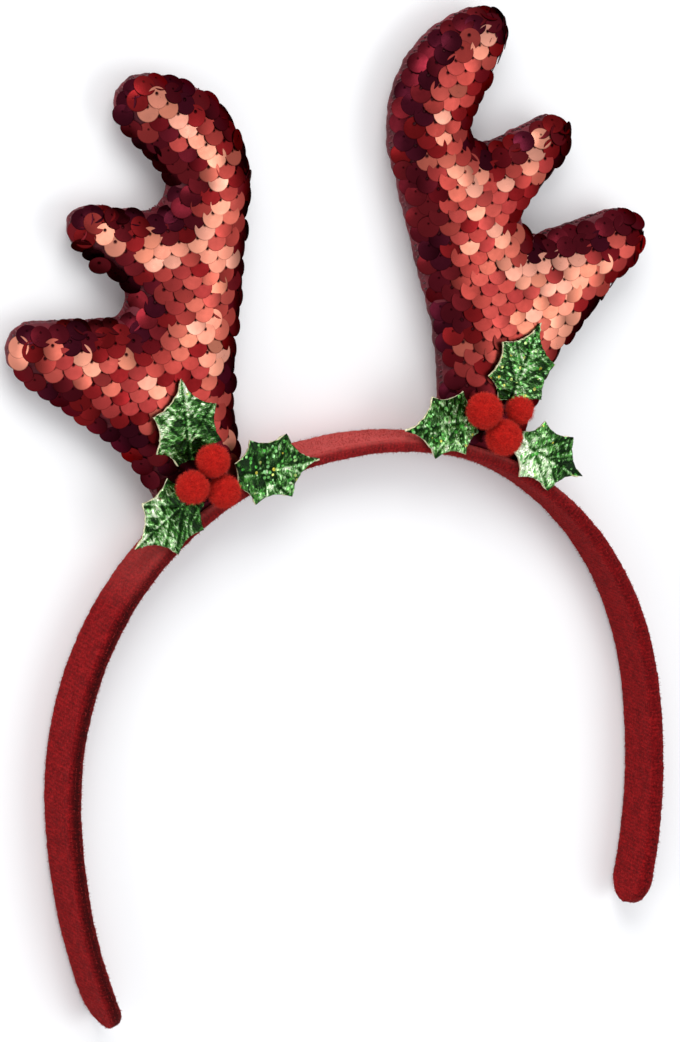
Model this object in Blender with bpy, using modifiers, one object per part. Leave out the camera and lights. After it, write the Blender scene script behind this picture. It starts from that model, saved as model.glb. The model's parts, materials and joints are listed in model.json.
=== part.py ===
"""Reindeer antler headband, lying on its back, at its real size.

Metres, +Z up. +X is the wearer's left, +Y the wearer's up and +Z the wearer's front, so the back
edge of the band and the flattened backs of the antlers rest on z = 0. The origin is on the band's
back edge, at the middle of its crown. Left and right are the wearer's.
"""
import math

import bmesh
import bpy
from mathutils import Matrix, Vector
from mathutils.geometry import delaunay_2d_cdt

MM = 0.001
GAP = 0.3 * MM                   # clearance between pieces that touch

# Band: felt over a flexible strip, an arch that holds the head between two arms
BAND_HALF_WIDTH = 74 * MM        # middle of the head to the outer face, at the widest level
BAND_CROWN_RISE = 74.5 * MM      # widest level up to the outer face of the crown
BAND_SQUARENESS = 2.1            # power of the crown's curve: 2 is an ellipse
BAND_ARM_LENGTH = 43.9 * MM      # widest level down to the tips
BAND_TIP_INSET = 7.3 * MM        # how far the tips turn in
BAND_INSET_POWER = 2.2           # the arms turn in slowly at first
BAND_DEPTH = 13 * MM             # back edge to front edge
BAND_THICKNESS = 3.2 * MM
BAND_EDGE_ROUND = 1.0 * MM
BAND_CROWN_STEPS = 20            # sections from the crown to the widest level
BAND_ARM_STEPS = 5
BAND_TIP_ANGLES = (22, 42, 60, 74, 84)    # degrees round the tongue-shaped tip

# Antlers: stuffed pads as deep as the band, flattened at the back
PAD_DEPTH = BAND_DEPTH
PAD_ROLL_IN = 7.5 * MM           # distance from the seam over which a face swells to full depth
PAD_BACK_SWELL = 1.08            # the back swells more than the front and is pressed flat
PAD_RING_INSETS = (0.5 * MM, 1.7 * MM)
PAD_GRID = 3.7 * MM
ARC_STEP = 3.0 * MM
ARC_STEP_ANGLE = math.radians(24)
FOOT_STEPS = 8

# The seam is a belt that runs anticlockwise round these discs: x from the middle, y above the
# crown's outer face and radius in mm, turn +1 round a tine's end and -1 round a notch.
ANTLER_DISCS = (
    # name           x      y      radius  turn
    ("lower_sweep",  88.2, -22.0,  45.9,   -1),
    ("low_tine",     71.6,  32.4,   6.3,    1),
    ("low_notch",    52.0,  40.1,   4.0,   -1),
    ("middle_tine",  56.1,  56.4,   5.0,    1),
    ("high_notch",   40.9,  62.2,   4.5,   -1),
    ("high_tine",    41.1,  81.0,   6.4,    1),
    ("back_curve",   42.6,  62.2,  25.1,    1),
    ("neck",        -35.5,  11.6,  61.2,   -1),
)
ANTLER_PIVOT = (33.0, -6.0)      # mm, middle of the foot
ANTLERS = (
    # name           side  size    outward (mm)
    ("antler_left",   1,   1.013,   1.0),
    ("antler_right", -1,   0.987,  -1.0),
)

# Holly leaves: one die-cut shape with seven spikes, in thin padded foil cloth
LEAF_THICKNESS = 1.0 * MM
LEAF_SCALLOP = 0.15              # depth of each hollow edge, as a share of its length
LEAF_SCALLOP_STEPS = 3
LEAF_RISE = 0.10                 # how steeply the blade rises from its midrib
LEAF_MIDRIB_STEPS = 6
LEAF_SPIKES = (
    # along  half width, as shares of the leaf's length
    (0.0,    0.14),
    (0.20,   0.385),
    (0.63,   0.38),
)
LEAVES = (
    # name                  base x    y    direction  length  width share (mm, mm, degrees, mm)
    ("holly_leaf_left_1",    38.9,   3.9,    60.0,    18.9,   1.02),
    ("holly_leaf_left_2",    31.2,   1.6,   178.0,    18.0,   1.00),
    ("holly_leaf_left_3",    40.9,  -4.9,   -34.0,    18.9,   0.92),
    ("holly_leaf_right_1",  -39.3,   4.6,    91.5,    18.6,   1.08),
    ("holly_leaf_right_2",  -28.8,   0.1,     0.5,    20.5,   0.90),
    ("holly_leaf_right_3",  -38.0,  -2.0,  -149.0,    18.4,   1.04),
)

# Berries: pompoms of short wool tufts
TUFT_HEIGHT = 0.45 * MM
TUFT_INSET = 0.36 * MM
BERRIES = (
    # name              x      y    radius over the tufts (mm)
    ("berry_left_1",    30.5,   4.6,  3.8),
    ("berry_left_2",    39.8,   2.9,  2.9),
    ("berry_left_3",    34.9,  -2.1,  3.8),
    ("berry_right_1",  -35.8,   5.3,  3.4),
    ("berry_right_2",  -41.2,   0.5,  3.4),
    ("berry_right_3",  -33.8,  -1.7,  3.4),
)

# Materials: base colour as linear red, green and blue, roughness, metallic
FELT_RED = ("red_felt", (0.434, 0.008, 0.010), 0.95, 0.0)
SEQUIN_RED = ("red_sequin_cloth", (0.520, 0.040, 0.030), 0.30, 0.6)
FOIL_GREEN = ("green_foil_cloth", (0.020, 0.190, 0.045), 0.25, 0.8)
WOOL_RED = ("red_pompom_wool", (0.580, 0.016, 0.012), 1.0, 0.0)


def clear_scene():
    for item in list(bpy.data.objects):
        bpy.data.objects.remove(item, do_unlink=True)


def make_collection(name):
    collection = bpy.data.collections.new(name)
    bpy.context.scene.collection.children.link(collection)
    return collection


def make_material(name, colour, roughness, metallic):
    material = bpy.data.materials.new(name)
    material.use_nodes = True
    shader = material.node_tree.nodes["Principled BSDF"]
    shader.inputs["Base Color"].default_value = (*colour, 1.0)
    shader.inputs["Roughness"].default_value = roughness
    shader.inputs["Metallic"].default_value = metallic
    return material


def add_object(name, bm, material, collection):
    """Store a bmesh as a smooth-shaded object with one material."""
    bmesh.ops.recalc_face_normals(bm, faces=bm.faces)
    mesh = bpy.data.meshes.new(name)
    bm.to_mesh(mesh)
    bm.free()
    mesh.materials.append(material)
    mesh.shade_smooth()
    mesh.set_sharp_from_angle(angle=math.radians(50))
    item = bpy.data.objects.new(name, mesh)
    collection.objects.link(item)
    return item


# Band

def crown_face_y(x, clearance=0.0):
    """Height of the crown's outer face above the crown's middle line, at x."""
    half_width = BAND_HALF_WIDTH + clearance
    rise = BAND_CROWN_RISE + clearance
    level = BAND_THICKNESS / 2 - BAND_CROWN_RISE
    share = min(abs(x) / half_width, 1.0)
    return level + rise * (1.0 - share ** BAND_SQUARENESS) ** (1 / BAND_SQUARENESS)


def band_outer_point(step):
    """Outer face of the band: step 0 is the crown, 1 the widest level and 2 the tip."""
    level = BAND_THICKNESS / 2 - BAND_CROWN_RISE
    if step <= 1.0:
        angle = step * math.pi / 2
        power = 2 / BAND_SQUARENESS
        across = math.sin(angle) ** power
        up = max(0.0, math.cos(angle)) ** power
        return Vector((BAND_HALF_WIDTH * across, level + BAND_CROWN_RISE * up))
    drop = step - 1.0
    inset = BAND_TIP_INSET * drop ** BAND_INSET_POWER
    return Vector((BAND_HALF_WIDTH - inset, level - BAND_ARM_LENGTH * drop))


def band_section_outline():
    """Rounded rectangle as (outward, forward) pairs, before it is narrowed at the tips."""
    corners = []
    for side, face in ((1, 1), (-1, 1), (-1, -1), (1, -1)):
        centre = Vector((side * (BAND_THICKNESS / 2 - BAND_EDGE_ROUND),
                         face * (BAND_DEPTH / 2 - BAND_EDGE_ROUND)))
        first = math.atan2(face, side) - math.pi / 4
        for part in range(3):
            angle = first + part * math.pi / 4
            corners.append(centre + BAND_EDGE_ROUND * Vector((math.cos(angle), math.sin(angle))))
    return corners


def band_steps():
    """Each section of half the band as (step, share of the depth)."""
    crown = [(index / BAND_CROWN_STEPS, 1.0) for index in range(BAND_CROWN_STEPS + 1)]
    tip_radius = BAND_DEPTH / 2
    straight = 1.0 - tip_radius / BAND_ARM_LENGTH
    arm = [(1.0 + straight * index / BAND_ARM_STEPS, 1.0) for index in range(1, BAND_ARM_STEPS + 1)]
    tip = []
    for degrees in BAND_TIP_ANGLES:
        angle = math.radians(degrees)
        reach = straight + math.sin(angle) * tip_radius / BAND_ARM_LENGTH
        tip.append((1.0 + reach, math.cos(angle)))
    return crown + arm + tip


def build_band(material, collection):
    """Half the arch is lofted from the open crown to the closed tip, then mirrored."""
    bm = bmesh.new()
    outline = band_section_outline()
    nudge = 0.002
    rings = []
    for step, share in band_steps():
        ahead = band_outer_point(min(step + nudge, 2.0))
        behind = band_outer_point(max(step - nudge, 0.0))
        along = (ahead - behind).normalized()
        if step == 0.0:
            along = Vector((1.0, 0.0))
        outward = Vector((-along.y, along.x))
        centre = band_outer_point(step) - outward * BAND_THICKNESS / 2
        thinning = 0.55 + 0.45 * share
        ring = []
        for out, forward in outline:
            flat = centre + outward * out * thinning
            ring.append(bm.verts.new((flat.x, flat.y, BAND_DEPTH / 2 + forward * share)))
        rings.append(ring)
    count = len(outline)
    for ring, following in zip(rings, rings[1:]):
        for index in range(count):
            after = (index + 1) % count
            bm.faces.new((ring[index], ring[after], following[after], following[index]))
    bm.faces.new(rings[-1])
    item = add_object("band", bm, material, collection)
    mirror = item.modifiers.new("other_half", "MIRROR")
    mirror.merge_threshold = 0.00005
    return item


# Antlers

def belt(discs):
    """Points of a belt that runs round (centre, radius, turn) discs in order, with open ends."""
    headings = []
    for (here, radius, turn), (there, next_radius, next_turn) in zip(discs, discs[1:]):
        reach = there - here
        lift = (next_turn * next_radius - turn * radius) / reach.length
        headings.append(math.atan2(reach.y, reach.x) - math.asin(lift))
    quarter = math.pi / 2
    arrive = [headings[0] + quarter] + headings
    leave = headings + [headings[-1] - quarter]
    points = []
    for (centre, radius, turn), start, end in zip(discs, arrive, leave):
        sweep = (end - start + math.pi) % (2 * math.pi) - math.pi
        if turn > 0 and sweep < 0:
            sweep += 2 * math.pi
        if turn < 0 and sweep > 0:
            sweep -= 2 * math.pi
        steps = max(2, math.ceil(abs(sweep) / ARC_STEP_ANGLE), math.ceil(abs(sweep) * radius / ARC_STEP))
        for index in range(steps + 1):
            heading = start + sweep * index / steps
            normal = Vector((-math.sin(heading), math.cos(heading)))
            points.append(centre - normal * turn * radius)
    return points


def even_spacing(points, longest):
    """Split the straight runs so that no edge is longer than the given length."""
    result = [points[0]]
    for here, there in zip(points, points[1:]):
        parts = max(1, round((there - here).length / longest))
        for index in range(1, parts + 1):
            result.append(here.lerp(there, index / parts))
    return result


def cut_at_seat(points):
    """Keep the stretch above the band's crown, ending exactly on the seat."""
    def height(point):
        return point.y - crown_face_y(point.x, GAP)
    kept = []
    for here, there in zip(points, points[1:]):
        above, next_above = height(here), height(there)
        if above >= 0 and not kept:
            kept.append(here)
        if above < 0 <= next_above:
            kept = [here.lerp(there, above / (above - next_above))]
        if next_above >= 0:
            kept.append(there)
        elif above >= 0:
            kept.append(here.lerp(there, above / (above - next_above)))
            return kept
    return kept


def antler_seam(size, outward):
    """The antler's tine edges on the +X side, from the outer foot round to the inner foot."""
    pivot = Vector(ANTLER_PIVOT)
    discs = []
    for _name, x, y, radius, turn in ANTLER_DISCS:
        centre = pivot + (Vector((x, y)) - pivot) * size + Vector((outward, 0.0))
        centre = centre * MM + Vector((0.0, BAND_THICKNESS / 2))
        discs.append((centre, radius * size * MM, turn))
    points = cut_at_seat(even_spacing(belt(discs), ARC_STEP))
    cleaned = [points[0]]
    for point in points[1:]:
        if (point - cleaned[-1]).length > 0.25 * ARC_STEP:
            cleaned.append(point)
    cleaned[-1] = points[-1]
    return cleaned


def distance_to(points, spot):
    """Distance from a spot to an open run of edges."""
    nearest = math.inf
    for here, there in zip(points, points[1:]):
        edge = there - here
        share = max(0.0, min(1.0, (spot - here).dot(edge) / edge.length_squared))
        nearest = min(nearest, (spot - here - edge * share).length)
    return nearest


def is_inside(outline, spot):
    inside = False
    for here, there in zip(outline, outline[1:] + outline[:1]):
        if (here.y > spot.y) != (there.y > spot.y):
            crossing = here.x + (spot.y - here.y) * (there.x - here.x) / (there.y - here.y)
            if spot.x < crossing:
                inside = not inside
    return inside


def pad_points(seam, foot):
    """Points inside the pad: rings that follow the seam, then a grid of staggered rows."""
    outline = seam + foot
    spots = []
    for inset in PAD_RING_INSETS:
        for before, here, after in zip(seam, seam[1:], seam[2:]):
            along = (after - before).normalized()
            spot = here + Vector((-along.y, along.x)) * inset
            if is_inside(outline, spot) and distance_to(seam, spot) > 0.9 * inset:
                if distance_to(foot, spot) > 0.4 * PAD_GRID:
                    spots.append(spot)
    low = Vector((min(p.x for p in outline), min(p.y for p in outline)))
    high = Vector((max(p.x for p in outline), max(p.y for p in outline)))
    row_height = PAD_GRID * math.sqrt(3) / 2
    margin = PAD_RING_INSETS[-1] + 0.45 * PAD_GRID
    for row in range(math.ceil((high.y - low.y) / row_height)):
        for column in range(math.ceil((high.x - low.x) / PAD_GRID) + 1):
            spot = low + Vector(((column + 0.5 * (row % 2)) * PAD_GRID, row * row_height))
            if not is_inside(outline, spot) or distance_to(seam, spot) < margin:
                continue
            if distance_to(foot, spot) > 0.5 * PAD_GRID:
                spots.append(spot)
    return spots


def triangulated(outline, spots, ribs=()):
    """Flat triangles inside an outline, through all the spots."""
    count = len(outline)
    edges = [(index, (index + 1) % count) for index in range(count)]
    edges += [(count + a, count + b) for a, b in ribs]
    inside_only = 1
    found = delaunay_2d_cdt(list(outline) + list(spots), edges, [], inside_only, 1e-7)
    return found[0], found[2]


def pad_swell(distance):
    """Half the pad's depth at a distance from its seam, as a round roll-over."""
    share = min(distance / PAD_ROLL_IN, 1.0)
    return PAD_DEPTH / 2 * math.sqrt(1.0 - (1.0 - share) ** 2)


def build_antler(name, side, size, outward, material, collection):
    """A front and a back face that swell from one seam, with a seat cut to the band's crown."""
    seam = antler_seam(size, outward)
    inner_x, outer_x = seam[-1].x, seam[0].x
    foot = []
    for index in range(1, FOOT_STEPS):
        x = inner_x + (outer_x - inner_x) * index / FOOT_STEPS
        foot.append(Vector((x, crown_face_y(x, GAP))))
    outline = seam + foot
    flat_verts, triangles = triangulated(outline, pad_points(seam, foot))
    bm = bmesh.new()
    front, back = [], []
    for spot in flat_verts:
        swell = pad_swell(distance_to(seam, spot))
        middle = PAD_DEPTH / 2
        front.append(bm.verts.new((side * spot.x, spot.y, middle + swell)))
        back.append(bm.verts.new((side * spot.x, spot.y, max(middle - swell * PAD_BACK_SWELL, 0.0))))
    for triangle in triangles:
        bm.faces.new([front[index] for index in triangle])
        bm.faces.new([back[index] for index in reversed(triangle)])
    rim = [edge for edge in bm.edges if edge.is_boundary and edge.verts[0] in set(front)]
    partner = dict(zip(front, back))
    for edge in rim:
        here, there = edge.verts
        bm.faces.new((here, there, partner[there], partner[here]))
    bmesh.ops.remove_doubles(bm, verts=bm.verts, dist=0.000002)
    bmesh.ops.dissolve_degenerate(bm, dist=0.000002, edges=bm.edges)
    return add_object(name, bm, material, collection)


# Holly leaves

def leaf_outline(length, width_share):
    """Spikes of the leaf joined by hollow edges, anticlockwise, with its base at the origin."""
    right = [Vector((along * length, -width * width_share * length)) for along, width in LEAF_SPIKES]
    left = [Vector((point.x, -point.y)) for point in reversed(right)]
    spikes = right + [Vector((length, 0.0))] + left
    points = []
    for here, there in zip(spikes, spikes[1:] + spikes[:1]):
        edge = there - here
        inward = Vector((-edge.y, edge.x)) * LEAF_SCALLOP
        points.append(here)
        for index in range(1, LEAF_SCALLOP_STEPS + 1):
            share = index / (LEAF_SCALLOP_STEPS + 1)
            points.append(here + edge * share + inward * 4 * share * (1 - share))
    return points


def build_leaf(name, x, y, direction, length, width_share, material, collection):
    """A sheet folded along its midrib, given its thickness upwards."""
    length *= MM
    midrib = [Vector((length * 0.94 * (index + 0.5) / LEAF_MIDRIB_STEPS, 0.0))
              for index in range(LEAF_MIDRIB_STEPS)]
    ribs = [(index, index + 1) for index in range(LEAF_MIDRIB_STEPS - 1)]
    flat_verts, triangles = triangulated(leaf_outline(length, width_share), midrib, ribs)
    turn = Matrix.Rotation(math.radians(direction), 2)
    base = Vector((x * MM, y * MM))
    bm = bmesh.new()
    verts = []
    for spot in flat_verts:
        rise = LEAF_RISE * abs(spot.y) * max(0.0, min(1.0, spot.x / length))
        place = base + turn @ spot
        verts.append(bm.verts.new((place.x, place.y, BAND_DEPTH + GAP + rise)))
    for triangle in triangles:
        bm.faces.new([verts[index] for index in triangle])
    item = add_object(name, bm, material, collection)
    solidify = item.modifiers.new("foil_cloth", "SOLIDIFY")
    solidify.thickness = LEAF_THICKNESS
    solidify.offset = 1.0
    return item


# Berries

def build_berry(name, x, y, radius, material, collection):
    """A ball of short tufts, fused to its core."""
    radius *= MM
    bm = bmesh.new()
    bmesh.ops.create_icosphere(bm, subdivisions=2, radius=radius - TUFT_HEIGHT)
    bmesh.ops.inset_individual(bm, faces=bm.faces[:], thickness=TUFT_INSET, depth=TUFT_HEIGHT)
    seat = BAND_DEPTH + GAP + LEAF_THICKNESS + GAP
    place = Vector((x * MM, y * MM, seat + radius))
    bmesh.ops.translate(bm, verts=bm.verts, vec=place)
    return add_object(name, bm, material, collection)


def main():
    clear_scene()
    collection = make_collection("reindeer_antler_headband")
    build_band(make_material(*FELT_RED), collection)
    sequin_cloth = make_material(*SEQUIN_RED)
    for row in ANTLERS:
        build_antler(*row, sequin_cloth, collection)
    foil_cloth = make_material(*FOIL_GREEN)
    for row in LEAVES:
        build_leaf(*row, foil_cloth, collection)
    wool = make_material(*WOOL_RED)
    for row in BERRIES:
        build_berry(*row, wool, collection)


main()
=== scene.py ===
"""Reindeer antler headband: how each piece is covered, sewn and finished.

Metres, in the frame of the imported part: +X is the wearer's left, +Y the wearer's up and +Z the
wearer's front. The headband lies on its back on a pale floor. The band is covered in velour knit.
Each antler is a stuffed cloth pad, stitched round its seam and scaled with sequins at the front.
Crinkled foil holly leaves and pompom berries sit at each foot.
"""
import functools
import itertools
import json
import math
import random

import bmesh
import bpy
import numpy as np
from mathutils import Matrix, Vector, noise
from mathutils.bvhtree import BVHTree
from mathutils.geometry import delaunay_2d_cdt

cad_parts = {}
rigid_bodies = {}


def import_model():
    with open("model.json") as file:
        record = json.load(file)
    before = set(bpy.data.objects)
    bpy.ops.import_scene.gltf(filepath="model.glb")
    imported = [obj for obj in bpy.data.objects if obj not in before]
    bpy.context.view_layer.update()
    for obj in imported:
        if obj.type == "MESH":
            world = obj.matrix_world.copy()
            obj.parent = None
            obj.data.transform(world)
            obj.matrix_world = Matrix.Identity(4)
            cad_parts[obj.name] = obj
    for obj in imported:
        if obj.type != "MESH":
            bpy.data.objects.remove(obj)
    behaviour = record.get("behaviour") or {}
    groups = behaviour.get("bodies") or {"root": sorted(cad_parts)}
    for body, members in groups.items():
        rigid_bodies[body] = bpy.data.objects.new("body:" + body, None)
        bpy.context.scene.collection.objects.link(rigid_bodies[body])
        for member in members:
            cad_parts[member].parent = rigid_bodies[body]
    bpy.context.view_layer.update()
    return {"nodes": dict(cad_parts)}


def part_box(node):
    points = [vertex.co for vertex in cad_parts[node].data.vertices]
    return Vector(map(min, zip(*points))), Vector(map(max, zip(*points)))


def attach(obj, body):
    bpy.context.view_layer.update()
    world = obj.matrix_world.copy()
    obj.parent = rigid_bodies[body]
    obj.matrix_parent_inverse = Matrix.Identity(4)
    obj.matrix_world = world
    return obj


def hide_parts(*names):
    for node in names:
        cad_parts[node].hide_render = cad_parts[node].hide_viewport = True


MM = 0.001
MERGE_DISTANCE = 0.00001         # corners of a solid's faces nearer than this, in metres, are one
FLOOR_GAP = 0.02                 # cloth stays this far above the floor, in mm

# Camera: the photo's angle, in degrees, and what it looks at, in mm
IMAGE_HEIGHT = 1042
CAMERA_TURN = 28.406             # towards the wearer's right
CAMERA_RISE = 13.871             # above the wearer's eye level
CAMERA_ROLL = -4.212
CAMERA_TARGET = (-0.328, -16.402, 6.5)
CAMERA_DISTANCE = 1500.0
CAMERA_FOCAL_PIXELS = 6962.1
SENSOR = 36.0

# Soft boxes, all aimed at the origin: place and size in metres, and watts
SOFT_BOXES = {
    "key_box": ((-0.35, 1.05, 0.95), (0.9, 0.7), 11.5),
    "fill_box": ((0.62, -0.25, 1.1), (0.8, 0.8), 3.6),
    "side_box": ((-1.1, 0.1, 0.55), (0.7, 0.5), 3.0),
}
GLOW_STRENGTH = 0.78             # even light from all round

# Band: the upper half of a superellipse, and two arms that turn in, in mm
BAND_HALF_WIDTH = 74.0
BAND_CROWN_RISE = 74.5
BAND_SQUARENESS = 2.1
BAND_ARM_LENGTH = 43.9
BAND_TIP_INSET = 7.3
BAND_INSET_POWER = 2.2
BAND_DEPTH = 13.0
BAND_THICKNESS = 3.2
TIP_NARROWEST = 0.06             # share of the depth that is left at the very tip
TIP_THINNEST = 0.55              # share of the thickness that is left there
VELOUR_EDGE_ROUND = 1.25
VELOUR_STEP = 0.27               # mesh spacing along the band
VELOUR_SIDES = 36
VELOUR_SIDE_STEP = 0.87          # mesh spacing round the band
VELOUR_RIB = 0.95                # pitch of the knit's ribs
VELOUR_RIB_SLANT = 0.5           # radians of a rib's wave for each mm round the band
VELOUR_RIB_HEIGHT = 0.03
VELOUR_LUMP_HEIGHT = 0.14
VELOUR_SWELL_HEIGHT = 0.08
VELOUR_HAIRS = 22000
VELOUR_HAIR = (0.5, 0.08, 0.55)  # length, width and lean
VELOUR_BARE = 0.4                # no hairs on what lies on the floor, up to this height
# The crown's outer face gets a painted pale sheen, and the arms' fronts get painted shade, the right one
# more than the left
CROWN_REACH = 32.0               # from the band's middle to where the arms begin to take over
CROWN_FADE = 26.0
CROWN_PAINTED_SHEEN = (0.03, 0.44)       # all over, and towards the outer face
FRONT_SHADE = 0.12
RIGHT_ARM_SHADE = 0.68
LEFT_ARM_SHADE = 0.15

# Antler pads, in mm unless stated
SEAM_LEVEL = BAND_DEPTH / 2
PAD_SIM_SCALE = 10.0             # the cloth is solved at ten times its size, where it is stable
PAD_VOXEL = 1.3
PAD_START_DEPTH = 0.93           # share: the pad starts thinner, and its filling swells it
PAD_HELD_SLOPE = 0.45            # cloth that faces the front or back less than this is held
PAD_PRESSURE = 4.0
PAD_TENSION = 12.0
PAD_BENDING = 0.4
PAD_FRAMES = 16
PAD_SWELL_CAP = 0.9
PAD_FRONT_DEPTH = 0.87           # share: the sequins fill the rest of the solid's depth at the front
GROOVE_DEPTH = 0.45
GROOVE_HEIGHT = 0.7
GROOVE_REACH = 1.8
PUCKER_DEPTH = 0.28
PUCKER_PITCHES = (1.6, 3.7)
PUCKER_FADE = 3.2
PUCKER_REACH = 9.0

# Sequins, in mm
SEQUIN_RADIUS = 2.4
SEQUIN_HOLE = 0.30
SEQUIN_HOLE_UP = 0.92
SEQUIN_CUP = 0.10
SEQUIN_THICKNESS = 0.10
SEQUIN_SIDES = 22
SEQUIN_RINGS = (0.0, 0.12, 0.93, 1.0)
SEQUIN_PITCH = 4.15
SEQUIN_ROW = 2.45
SEQUIN_JITTER = 0.10
SEQUIN_LIFT = 0.45
SEQUIN_TILT = 5.5                # degrees: the free edge lies on the row below
SEQUIN_SPREAD = 2.0              # degrees by which its set wanders
LOOSE_SPREAD = 9.0               # and by which a loosely sewn one's does
LOOSE_SHARE = 0.05
FACE_FRONT = 0.35                # how far a sequin turns from the cloth's slope to the front
SEQUIN_MARGIN = 1.9              # the outermost full row sits this far inside the seam
BERRY_SHADE = 6.0                # sequins this near to a berry's middle lie in its shade

# The pad's shoulder, which is this wide inside the seam, and the one row on its side, in mm
SHOULDER_WIDTH = 3.8
SHOULDER_FRONT = 0.1             # how far a sequin there turns to the front
WALL_HOLE = 0.1                  # on the pad's side the thread fills the hole
WALL_CUP = 0.22                  # sequins near the seam are pressed round the pad's shoulder
WALL_START = 2.5
WALL_PITCH = 3.6
WALL_INSET = 5.0                 # the row is aimed from this far inside the seam
WALL_REACH = 9.0
WALL_SLOPE = (32.0, 9.0)         # degrees over the seam's plane, and how much more at the upper side
WALL_CROWDING = 1.8              # a sequin nearer than this to another is left off
WALL_LIFT = 0.1
HANGING_SLOPE = 25.0             # on the lower side the row hangs from its thread
HANGING_SPREAD = 5.0
HANGING_LIFT = 0.35

# Lacquer tones, with painted highlights in peach and painted shade and dark reflections in wine, and how
# they are shared out
CORAL = ("#9E3D36", "#A4453D", "#963631", "#8E302E", "#B2594A", "#993B36")
PAINTED_SHADE_WINE = ("#54131C", "#4A1018", "#400F1B", "#5E161C", "#64191E", "#360C16")
MIDDLE_RED = ("#641214", "#701618", "#5A1016", "#7A1A1C")
PAINTED_HIGHLIGHT_PEACH = ("#D48B73", "#D0826C", "#D6917C", "#CA7A62")
BORDER_WINE_SHARE = 0.86         # the rest of the border is middle red
WALL_WINE_SHARE = 0.85
FRINGE_WIDTH = 1.3               # mm inside the border where middle red mixes in
FRINGE_SHARE = 0.6
INNER_RED_SHARE = 0.14
RIM_SHADE = 0.45                 # painted shade on the punched rim and round the hole
HOLE_SHADE = 0.2

# Width of the dark border of painted shade and dark reflections towards each side of each antler, in mm
PAINTED_SHADE_BORDER = {
    #                 left  right  up   down
    "antler_left":   (5.6,  4.0,  5.4,  4.0),
    "antler_right":  (5.2,  4.0,  6.2,  5.4),
}
# Streaks of sequins given a painted highlight in peach: both ends and half width in mm, and the share that
# is painted
PAINTED_HIGHLIGHT_STREAKS = {
    "antler_left": (
        ((42.2, 84.0), (39.6, 81.2), 1.7, 1.0),
        ((28.3, 68.1), (29.7, 65.1), 1.5, 1.0),
        ((15.4, 64.2), (16.9, 60.5), 1.9, 1.0),
        ((53.4, 58.2), (50.4, 55.2), 1.8, 1.0),
        ((31.0, 58.5), (35.6, 47.8), 2.0, 0.95),
        ((36.0, 53.5), (42.0, 53.0), 1.4, 0.7),
        ((39.9, 42.0), (43.1, 33.3), 1.6, 0.8),
        ((32.4, 39.5), (33.2, 38.0), 1.6, 1.0),
        ((47.5, 31.5), (64.5, 30.5), 2.7, 0.72),
        ((48.0, 27.0), (61.0, 27.0), 1.7, 0.85),
        ((50.5, 24.0), (57.5, 21.3), 1.9, 0.85),
        ((55.3, 18.9), (51.4, 15.6), 2.3, 0.9),
        ((42.5, 22.0), (47.6, 21.6), 1.5, 0.9),
    ),
    "antler_right": (
        ((-41.0, 82.0), (-33.5, 77.4), 1.9, 1.0),
        ((-33.5, 77.4), (-27.5, 69.8), 1.9, 1.0),
        ((-26.6, 64.5), (-26.4, 62.8), 2.0, 1.0),
        ((-25.6, 58.1), (-31.0, 52.0), 1.9, 0.95),
        ((-52.6, 56.5), (-49.9, 53.7), 2.0, 1.0),
        ((-45.0, 51.8), (-37.4, 50.0), 2.5, 0.9),
        ((-30.5, 47.4), (-25.5, 47.4), 1.9, 0.9),
        ((-28.2, 41.5), (-28.6, 40.2), 1.8, 1.0),
        ((-30.1, 36.0), (-31.6, 32.6), 2.0, 0.9),
        ((-35.7, 33.0), (-35.5, 31.8), 1.7, 1.0),
        ((-30.1, 27.6), (-32.4, 24.8), 2.0, 0.95),
        ((-61.4, 32.0), (-58.8, 29.2), 2.0, 1.0),
        ((-51.0, 29.8), (-50.0, 28.6), 1.9, 1.0),
        ((-46.9, 24.6), (-45.3, 21.5), 1.9, 0.9),
        ((-28.9, 6.6), (-28.6, 5.6), 1.9, 1.0),
        ((-75.4, 35.2), (-74.4, 34.4), 2.0, 1.0),
    ),
}
# Streaks inside the painted dark border where the sequins stay coral, charted in the same way
GLOW = {
    "antler_left": (
        ((36.8, 88.8), (35.8, 86.0), 1.8, 0.7),
        ((35.0, 81.5), (26.8, 71.2), 2.2, 0.95),
        ((24.3, 62.5), (24.3, 57.0), 1.6, 0.9),
        ((31.0, 17.0), (31.0, 10.8), 2.2, 0.95),
        ((54.6, 61.9), (55.0, 59.0), 1.6, 0.9),
    ),
    "antler_right": (
        ((-55.2, 59.0), (-54.8, 55.4), 1.7, 0.95),
        ((-45.0, 76.8), (-38.9, 75.0), 1.8, 0.95),
        ((-34.6, 62.8), (-35.6, 60.5), 1.8, 1.0),
        ((-68.2, 33.8), (-67.0, 29.2), 2.1, 0.95),
        ((-65.0, 31.2), (-56.5, 22.5), 2.3, 0.95),
    ),
}
# Sequins on a slack thread that stand off the edge: place in mm, and how far they turn outward
STRAYS = {
    "antler_left": (((73.6, 36.4), 62.0), ((67.5, 25.2), 50.0)),
    "antler_right": (((-54.2, 49.2), 38.0), ((-44.2, 10.5), 30.0)),
}

# Seam stitches, in mm
STITCH_PITCH = 1.25
STITCH_LENGTH = 1.9
STITCH_RADIUS = 0.17
STITCH_RINGS = 7
STITCH_SIDES = 6
STITCH_ARCH = 0.30               # how far its middle stands over its ends
STITCH_SLANT = (0.35, 0.12)      # its lean along the seam, and how much that wanders

# Leaves, in mm
LEAF_GRID = 0.33
LEAF_EDGE_STEP = 0.4
LEAF_THICKNESS = 0.5
LEAF_LEVEL = 15.0                # about how high the leaves lie
LEAF_SINK = 0.15
LEAF_CURL = 0.5
LEAF_CRINKLE = 0.5
LEAF_SHINE_REACH = 5.0           # its lit side is reached this far from its middle
FOIL_RIPPLE = (0.95, 2.3)        # size of the foil's fine ripples along and across the leaf
FOIL_CREASE = (0.035, 0.045)     # how wide the ridge lines and the hollow lines are drawn
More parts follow.
